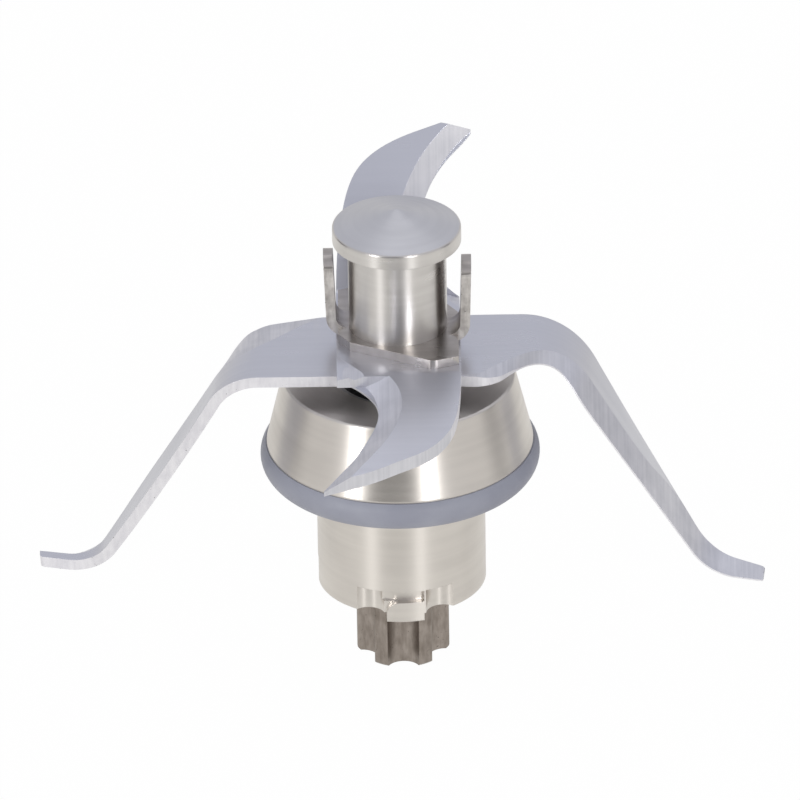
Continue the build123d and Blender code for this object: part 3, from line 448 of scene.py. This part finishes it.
@dataclass(frozen=True)
class Arm:
    """One arm of the long blade, drawn along x with its ground edge at negative y, in millimetres."""

    turn: float
    upper_radius: float
    lower_radius: float
    tip_slope: float
    leading: tuple[tuple[float, float], ...]
    trailing: tuple[tuple[float, float], ...]
    ground_line: tuple[tuple[float, float], ...]
    grind_from: float
    grind_full: float
    top_z: float = 22.2
    thickness: float = 1.9
    bend_x: float = 27.3
    bend_skew: float = 0.136
    foot_x: float = 51.2
    foot_skew: float = -0.1
    drop: float = 39.6
    reach: float = 60.0
    tip_round: float = 0.6
    edge_land: float = 0.25
    least_ground: float = 0.05
    step: float = 0.3
    corner_steps: int = 6

    def place(self, x: float, y: float, z: float) -> Vector:
        """Turn a point of the arm into the assembly's frame.

        Args:
            x: Distance along the arm.
            y: Distance across it.
            z: Height.

        Returns:
            The point in metres.
        """
        return Matrix.Rotation(math.radians(self.turn), 3, "Z") @ Vector((x, y, z)) * MM

    def surface(self, x: float, y: float) -> tuple[float, float, float]:
        """Find the top surface over a point of the plan.

        Args:
            x: Distance along the arm.
            y: Distance across it.

        Returns:
            Height, and the x and z parts of the surface's normal.
        """
        bend = self.bend_x + self.bend_skew * y
        foot = self.foot_x + self.foot_skew * y
        fall = math.atan2(self.drop, foot - bend)
        tip = math.radians(self.tip_slope)
        upper = self.upper_radius * math.tan(fall / 2)
        lower = self.lower_radius * math.tan((fall - tip) / 2)
        if x < bend - upper:
            return self.top_z, 0.0, 1.0
        if x < bend + upper * math.cos(fall):
            side = (x - (bend - upper)) / self.upper_radius
            rise = math.sqrt(1 - side * side)
            return self.top_z - self.upper_radius * (1 - rise), side, rise
        if x < foot - lower * math.cos(fall):
            return self.top_z - (x - bend) * math.tan(fall), math.sin(fall), math.cos(fall)
        foot_z = self.top_z - self.drop
        if x < foot + lower * math.cos(tip):
            centre_x = foot - lower * math.cos(fall) + self.lower_radius * math.sin(fall)
            centre_z = foot_z + lower * math.sin(fall) + self.lower_radius * math.cos(fall)
            side = (centre_x - x) / self.lower_radius
            rise = math.sqrt(1 - side * side)
            return centre_z - self.lower_radius * rise, side, rise
        return foot_z - (x - foot) * math.tan(tip), math.sin(tip), math.cos(tip)

    def section(self, x: float) -> list[Vector]:
        """Points round the arm at one distance from the axis.

        Args:
            x: Distance along the arm.

        Returns:
            Eight points: across the top to the ground edge, and back below.
        """
        into_tip = max(0.0, x - (self.reach - self.tip_round))
        pinch = self.tip_round - math.sqrt(max(0.0, self.tip_round ** 2 - into_tip ** 2))
        lead = smooth(self.leading, x) + pinch
        trail = smooth(self.trailing, x) - pinch
        inner = min(max(smooth(self.ground_line, x), lead + self.least_ground), trail - self.least_ground)
        share = min(1.0, max(0.0, (x - self.grind_from) / (self.grind_full - self.grind_from)))
        depth = (self.thickness - self.edge_land) * share
        middle = (trail + inner) / 2
        rows = [(trail, 0.0), (middle, 0.0), (inner, 0.0), ((inner + lead) / 2, depth / 2), (lead, depth),
                (lead, self.thickness), (middle, self.thickness), (trail, self.thickness)]
        points = []
        for y, below in rows:
            z, side, rise = self.surface(x, y)
            points.append(self.place(x - below * side, y, z - below * rise))
        return points

    def sections(self) -> list[list[Vector]]:
        """Build all sections from beside the axis to the tip, closer together at the tip's corners.

        Returns:
            The sections in order.
        """
        straight = self.reach - self.tip_round
        count = math.ceil(straight / self.step)
        even = [straight * number / count for number in range(1, count)]
        turns = [math.pi / 2 * number / self.corner_steps for number in range(self.corner_steps + 1)]
        corner = [straight + self.tip_round * math.sin(turn) for turn in turns]
        return [self.section(x) for x in even + corner]


# How many of a section's eight points lie on its top side
TOP_POINTS = 5
# What made the strip that starts at each of a section's points
SECTION_KINDS = (Face.SHEET, Face.SHEET, Face.GROUND, Face.GROUND,
                 Face.EDGE, Face.SHEET, Face.SHEET, Face.EDGE)
# Outlines in plan, read off the photograph through the fitted camera
TRAILING_SIDE = ((0, 10.0), (22.0, 10.0), (27.0, 9.5), (31.0, 8.6), (35.5, 7.2), (46.0, 3.15))
RIGHT_ARM = Arm(
    turn=0.0, upper_radius=14.0, lower_radius=8.5, tip_slope=8.0,
    leading=((0, -10.0), (9.0, -10.6), (13.5, -10.8), (16.4, -9.4), (18.7, -6.6), (20.6, -4.7),
             (23.0, -3.0), (25.5, -2.1), (27.5, -2.2), (29.5, -3.6), (31.8, -4.9), (35.0, -5.1),
             (45.0, -4.95), (60.0, -5.6)),
    trailing=(*TRAILING_SIDE, (53.0, -0.9), (60.0, -3.9)),
    ground_line=((0, -10.0), (13.0, -9.8), (15.5, -7.4), (20.0, -3.7), (24.5, -0.6), (29.0, 0.2),
                 (40.0, -0.5), (46.5, 3.0), (60.0, 0.0)),
    grind_from=12.5, grind_full=20.0)
LEFT_ARM = Arm(
    turn=180.0, upper_radius=10.0, lower_radius=8.0, tip_slope=4.5,
    leading=((0, -10.0), (24.0, -10.0), (26.0, -9.4), (28.2, -7.6), (30.5, -5.8), (34.0, -5.0),
             (45.0, -4.7), (60.0, -5.6)),
    trailing=(*TRAILING_SIDE, (53.0, 0.2), (60.0, -2.6)),
    ground_line=((0, -10.0), (13.0, -9.4), (16.4, -7.0), (21.4, -2.1), (25.5, 0.6), (29.0, 1.2),
                 (41.0, -0.7), (50.0, -1.2), (60.0, -4.5)),
    grind_from=12.5, grind_full=24.0)


@dataclass
class LongBlade:
    """Long lower blade, which takes its solid's place.

    It has what the solid leaves out: hollow necks, each arm's own bends, and a ground face that widens
    towards the right tip.
    """

    name: str = "long_blade"
    node: str = "wing_blade"
    arms: tuple[Arm, Arm] = (RIGHT_ARM, LEFT_ARM)
    half_width: float = 10.0
    bore_radius: float = 4.04
    bore_half_flat: float = 3.24
    bore_steps: int = 12
    hard_angle: float = 12.0
    weld: float = 0.001 * MM
    points: list[Vector] = field(default_factory=list)
    faces: list[list[int]] = field(default_factory=list)
    kinds: list[Face] = field(default_factory=list)
    known: dict[tuple[int, ...], int] = field(default_factory=dict)

    def number(self, point: Vector) -> int:
        """Number of a point, which is added when it is new.

        Args:
            point: The point in metres.

        Returns:
            Its place in the list of points.
        """
        key = tuple(round(part / self.weld) for part in point)
        if key not in self.known:
            self.known[key] = len(self.points)
            self.points.append(point)
        return self.known[key]

    def face(self, kind: Face, *points: Vector) -> None:
        """Add one face.

        Args:
            kind: What made the face.
            *points: Its corners in order.
        """
        self.faces.append([self.number(point) for point in points])
        self.kinds.append(kind)

    def hub(self, arm: Arm, first: list[Vector]) -> None:
        """Add the hub's middle strip and half of the walls of its two-flat bore.

        The arm's first section lies beside the axis, nearer than the bore's wall, so faces also run across
        the bore. The curved blade above and the shaft's collar below hide them.

        Args:
            arm: The arm on this side.
            first: The arm's first section.
        """
        top, low = arm.top_z, arm.top_z - arm.thickness
        limit = math.asin(self.bore_half_flat / self.bore_radius)
        turns = [limit - 2 * limit * number / self.bore_steps for number in range(self.bore_steps + 1)]
        plan = [(self.bore_radius * math.cos(turn), self.bore_radius * math.sin(turn)) for turn in turns]
        plan = [(0.0, self.bore_half_flat), *plan, (0.0, -self.bore_half_flat)]
        upper = [arm.place(x, y, top) for x, y in plan]
        lower = [arm.place(x, y, low) for x, y in plan]
        back, front = [arm.place(0.0, y, top) for y in (self.half_width, -self.half_width)]
        back_low, front_low = [arm.place(0.0, y, low) for y in (self.half_width, -self.half_width)]
        top_row, low_row = first[:TOP_POINTS], first[TOP_POINTS:]
        self.face(Face.SHEET, back, *upper, front, *reversed(top_row))
        self.face(Face.SHEET, back_low, *lower, front_low, *low_row)
        self.face(Face.EDGE, front, front_low, low_row[0], top_row[-1])
        self.face(Face.EDGE, back_low, back, top_row[0], low_row[-1])
        for number in range(len(plan) - 1):
            self.face(Face.EDGE, upper[number], upper[number + 1], lower[number + 1], lower[number])

    def arm(self, arm: Arm) -> None:
        """Add one arm and its half of the hub.

        Args:
            arm: The arm.
        """
        sections = arm.sections()
        self.hub(arm, sections[0])
        for near, far in zip(sections, sections[1:]):
            for side, kind in enumerate(SECTION_KINDS):
                after = (side + 1) % len(SECTION_KINDS)
                self.face(kind, near[side], near[after], far[after], far[side])
        self.face(Face.EDGE, *sections[-1])

    def dress(self) -> bpy.types.Object:
        """Build the blade, put it in its solid's place and give each face its finish.

        Returns:
            The dressed object.
        """
        for arm in self.arms:
            self.arm(arm)
        mesh = bpy.data.meshes.new(self.name)
        mesh.from_pydata([tuple(point) for point in self.points], [], self.faces)
        for finish in BLADE_FINISHES.values():
            mesh.materials.append(finish.material())
        for polygon, kind in zip(mesh.polygons, self.kinds):
            polygon.material_index = list(BLADE_FINISHES).index(kind)
        shell = bmesh.new()
        shell.from_mesh(mesh)
        bmesh.ops.recalc_face_normals(shell, faces=shell.faces)
        shell.to_mesh(mesh)
        shell.free()
        mesh.shade_smooth()
        mesh.set_sharp_from_angle(angle=math.radians(self.hard_angle))
        blade = bpy.data.objects.new(self.name, mesh)
        bpy.context.scene.collection.objects.link(blade)
        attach(blade, "rotor")
        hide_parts(self.node)
        return blade


@dataclass
class Assembly:
    """A named group of pieces that is dressed together."""

    name: str
    pieces: list[Piece | SheetPiece | LongBlade]

    def dress(self) -> None:
        """Dress each piece and report it."""
        for piece in self.pieces:
            dressed = piece.dress()
            LOG.info("%s: %s, %d faces", self.name, dressed.name, len(dressed.data.polygons))


@dataclass
class Housing(Assembly):
    """The fixed parts: turned housing, its seals, spacer and snap ring."""

    name: str = "housing"
    pieces: list[Piece] = field(default_factory=lambda: [
        Piece("bearing_housing", TURNED_HOUSING),
        Piece("flange_seal", SEAL_RUBBER),
        Piece("outer_spacer", SLEEVE_STEEL),
        Piece("housing_circlip", SPRING_STEEL),
        Piece("lip_seal_case", SLEEVE_STEEL),
        Piece("lip_seal_rubber", LIP_RUBBER),
        Piece("lip_seal_spring", SPRING_STEEL),
    ])


@dataclass
class Rotor(Assembly):
    """What spins: shaft, coupling, blades, clip and nut."""

    raised_slope: float = 53.0
    lowered_slope: float = 12.0
    name: str = "rotor"
    pieces: list[Piece | SheetPiece | LongBlade] = field(default_factory=list)

    def __post_init__(self) -> None:
        """List the pieces, with the planes that the curved blade lies in."""
        slopes = [math.radians(angle) for angle in (0.0, self.raised_slope, self.lowered_slope)]
        planes = [Vector((0, -math.sin(slope), math.cos(slope))) for slope in slopes]
        clip_faces = {Face.SHEET: CLIP_SHEET, Face.GROUND: CLIP_SHEET, Face.EDGE: CLIP_EDGE}
        cap_faces = {Face.SHEET: FACED_CAP, Face.GROUND: TURNED_NUT, Face.EDGE: TURNED_NUT}
        self.pieces = [
            Piece("shaft", SHAFT_GROUND),
            Piece("drive_coupling", SINTERED),
            LongBlade(),
            SheetPiece("scythe_blade", BLADE_FINISHES, planes),
            SheetPiece("eared_clip", clip_faces, [Vector((0, 0, 1)), Vector((1, 0, 0))]),
            SheetPiece("head_nut", cap_faces, [Vector((0, 0, 1))], flat_limit=0.9),
            Piece("inner_spacer", SLEEVE_STEEL),
            Piece("shaft_circlip", SPRING_STEEL),
        ]


@dataclass
class Bearing(Assembly):
    """One ball bearing of the two."""

    place: str = "upper"
    name: str = "bearing"
    pieces: list[Piece] = field(default_factory=list)

    def __post_init__(self) -> None:
        """List the bearing's pieces by its place."""
        self.name = f"{self.place} bearing"
        steel = ("outer_ring", "inner_ring", "balls", "shields")
        self.pieces = [Piece(f"{self.place}_bearing_{part}", BEARING_STEEL) for part in steel]
        self.pieces.append(Piece(f"{self.place}_bearing_cage", CAGE_PLASTIC))


@dataclass
class Studio:
    """White table, pale room, two strip lamps and a soft lamp above; azimuths in degrees from the front."""

    table_radius: float = 0.26
    table_sides: int = 96
    table_glow: float = 0.985
    table_colour: str = "#F3F1EE"
    glow_colour: str = "#FFFFFF"
    mirrored_colour: str = "#F4F3F0"
    room_top: str = "#D6D7DE"
    room_side: str = "#E3E1DF"
    room_front: str = "#1E1D1D"
    room_gap: str = "#6E6C70"
    front_gap: tuple[float, float] = (-28.0, 14.0)
    left_gap: tuple[float, float] = (-122.0, -94.0)
    right_gap: tuple[float, float] = (84.0, 103.0)
    gap_soft: float = 6.0
    gap_top: float = 16.0
    gap_top_soft: float = 8.0
    wall_from: float = -0.1
    wall_to: float = 0.5
    strip_distance: float = 1.1
    strip_width: float = 0.17
    strip_height: float = 0.55
    strip_power: float = 3.2
    strip_azimuths: tuple[float, float] = (-39.0, 24.0)
    top_power: float = 1.0
    top_place: tuple[float, float, float] = (0.2, 0.5, 1.5)
    top_size: tuple[float, float] = (1.2, 0.9)

    def build(self) -> None:
        """Build the table, the room and the lights."""
        self.table()
        self.room()
        self.lights()
        LOG.info("studio: table, room and lights")

    def table(self) -> None:
        """Round table top that the assembly stands on, nearly white to the camera and in the metal."""
        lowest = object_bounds()[0][2]
        turns = [2 * math.pi * step / self.table_sides for step in range(self.table_sides)]
        points = [(self.table_radius * math.cos(turn), self.table_radius * math.sin(turn), lowest)
                  for turn in turns]
        mesh = bpy.data.meshes.new("table")
        mesh.from_pydata(points, [], [list(range(self.table_sides))])
        table = bpy.data.objects.new("table", mesh)
        bpy.context.scene.collection.objects.link(table)
        material = bpy.data.materials.new("matt_white_table")
        material.use_nodes = True
        tree = material.node_tree
        tree.nodes.clear()
        path = add(tree, "LightPath")
        seen = add(tree, "Math", {
            0: path.outputs["Is Camera Ray"], 1: self.table_glow}, operation="MULTIPLY")
        share = add(tree, "Math", {
            0: seen.outputs[0], 1: path.outputs["Is Glossy Ray"]}, operation="MAXIMUM")
        tone = add(tree, "Mix", {
            "Factor": path.outputs["Is Glossy Ray"], 6: linear(self.glow_colour),
            7: linear(self.mirrored_colour)}, data_type="RGBA")
        matt = add(tree, "BsdfDiffuse", {"Color": linear(self.table_colour)})
        glow = add(tree, "Emission", {"Color": tone.outputs[2], "Strength": 1.0})
        mix = add(tree, "MixShader", {0: share.outputs[0], 1: matt.outputs[0], 2: glow.outputs[0]})
        add(tree, "OutputMaterial", {"Surface": mix.outputs[0]})
        mesh.materials.append(material)
        table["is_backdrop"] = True

    def room(self) -> None:
        """Pale room: cool above, warmer at the sides, with dark gaps in front and at either side."""
        world = bpy.data.worlds.new("pale_room")
        world.use_nodes = True
        bpy.context.scene.world = world
        tree = world.node_tree
        tree.nodes.clear()
        way = add(tree, "TexCoord").outputs["Generated"]
        split = add(tree, "SeparateXYZ", {0: way})
        towards = add(tree, "Math", {0: split.outputs["Y"], 1: -1.0}, operation="MULTIPLY")
        azimuth = add(tree, "Math", {0: split.outputs["X"], 1: towards.outputs[0]}, operation="ARCTAN2")
        degrees = add(tree, "Math", {0: azimuth.outputs[0]}, operation="DEGREES")
        low = add(tree, "MapRange", {
            "Value": split.outputs["Z"],
            "From Min": math.sin(math.radians(self.gap_top - self.gap_top_soft)),
            "From Max": math.sin(math.radians(self.gap_top + self.gap_top_soft)),
            "To Min": 1.0, "To Max": 0.0}, interpolation_type="SMOOTHSTEP")
        rise = add(tree, "MapRange", {
            "Value": split.outputs["Z"], "From Min": self.wall_from, "From Max": self.wall_to})
        wall = add(tree, "Mix", {
            "Factor": rise.outputs[0], 6: linear(self.room_side), 7: linear(self.room_top)},
            data_type="RGBA")
        colour = wall.outputs[2]
        gaps = ((self.left_gap, self.room_gap), (self.right_gap, self.room_gap),
                (self.front_gap, self.room_front))
        for azimuths, tone in gaps:
            share = self.window(tree, degrees.outputs[0], azimuths)
            dark = add(tree, "Math", {0: share, 1: low.outputs[0]}, operation="MULTIPLY")
            colour = add(tree, "Mix", {
                "Factor": dark.outputs[0], 6: colour, 7: linear(tone)}, data_type="RGBA").outputs[2]
        path = add(tree, "LightPath")
        seen = add(tree, "Mix", {
            "Factor": path.outputs["Is Camera Ray"], 6: colour, 7: (1.0, 1.0, 1.0, 1.0)},
            data_type="RGBA")
        glow = add(tree, "Background", {"Color": seen.outputs[2], "Strength": 1.0})
        add(tree, "OutputWorld", {"Surface": glow.outputs[0]})

    def window(self, tree: bpy.types.NodeTree, degrees: bpy.types.NodeSocket,
               azimuths: tuple[float, float]) -> bpy.types.NodeSocket:
        """Share of a gap at an azimuth: one inside it, nought outside, soft at both sides.

        Args:
            tree: Where the nodes go.
            degrees: Azimuth of the view, nought in front.
            azimuths: Where the gap opens and closes.

        Returns:
            The share.
        """
        opens = add(tree, "MapRange", {
            "Value": degrees, "From Min": azimuths[0] - self.gap_soft,
            "From Max": azimuths[0] + self.gap_soft}, interpolation_type="SMOOTHSTEP")
        closes = add(tree, "MapRange", {
            "Value": degrees, "From Min": azimuths[1] - self.gap_soft,
            "From Max": azimuths[1] + self.gap_soft, "To Min": 1.0, "To Max": 0.0},
            interpolation_type="SMOOTHSTEP")
        share = add(tree, "Math", {0: opens.outputs[0], 1: closes.outputs[0]}, operation="MULTIPLY")
        return share.outputs[0]

    def lights(self) -> None:
        """Two upright strips in front and a broad soft light above."""
        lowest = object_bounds()[0][2]
        for side, azimuth in zip(("left", "right"), self.strip_azimuths):
            angle = math.radians(azimuth)
            where = Vector((math.sin(angle), -math.cos(angle), 0)) * self.strip_distance
            where.z = lowest + self.strip_height / 2
            self.lamp(f"strip_{side}", where, (self.strip_width, self.strip_height), self.strip_power)
        self.lamp("soft_top", Vector(self.top_place), self.top_size, self.top_power)

    @staticmethod
    def lamp(name: str, where: Vector, size: tuple[float, float], power: float) -> None:
        """Add an area lamp that looks at the assembly.

        Args:
            name: The lamp's name.
            where: Its centre.
            size: Width and height.
            power: Its power in watts.
        """
        data = bpy.data.lights.new(name, "AREA")
        data.shape = "RECTANGLE"
        data.size, data.size_y = size
        data.energy = power
        lamp = bpy.data.objects.new(name, data)
        lamp.location = where
        lamp.rotation_euler = (-where).to_track_quat("-Z", "Y").to_euler()
        bpy.context.scene.collection.objects.link(lamp)


@dataclass
class Camera:
    """Long lens fitted to the photograph: above the table's level and leaning a little to one side."""

    elevation: float = 29.2
    distance: float = 3.0
    roll: float = 0.95
    aim_height: float = 4.78 * MM
    aim_shift: float = 6.27 * MM
    frame_width: float = 132.01 * MM
    sensor: float = 36.0
    clip_end: float = 20.0

    def build(self) -> None:
        """Build the camera and make it the scene's."""
        rise = math.radians(self.elevation)
        right = Vector((1, 0, 0))
        up = Vector((0, math.sin(rise), math.cos(rise)))
        back = Vector((0, -math.cos(rise), math.sin(rise)))
        turn = Matrix.Rotation(math.radians(-self.roll), 3, back)
        right, up = turn @ right, turn @ up
        aim = Vector((0, 0, self.aim_height)) + up * self.aim_shift
        data = bpy.data.cameras.new("camera")
        data.sensor_width = self.sensor
        data.lens = self.sensor * self.distance / self.frame_width
        data.clip_end = self.clip_end
        camera = bpy.data.objects.new("camera", data)
        camera.matrix_world = Matrix.Translation(aim + back * self.distance) @ Matrix(
            (right, up, back)).transposed().to_4x4()
        bpy.context.scene.collection.objects.link(camera)
        bpy.context.scene.camera = camera
        LOG.info("camera: %.0f mm lens", data.lens)


def main() -> None:
    """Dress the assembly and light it."""
    logging.basicConfig(level=logging.INFO, format="%(name)s: %(message)s")
    bpy.context.scene.view_settings.view_transform = "Standard"
    for group in (Housing(), Rotor(), Bearing(place="upper"), Bearing(place="lower")):
        group.dress()
    Studio().build()
    Camera().build()


if __name__ == "__main__":
    main()
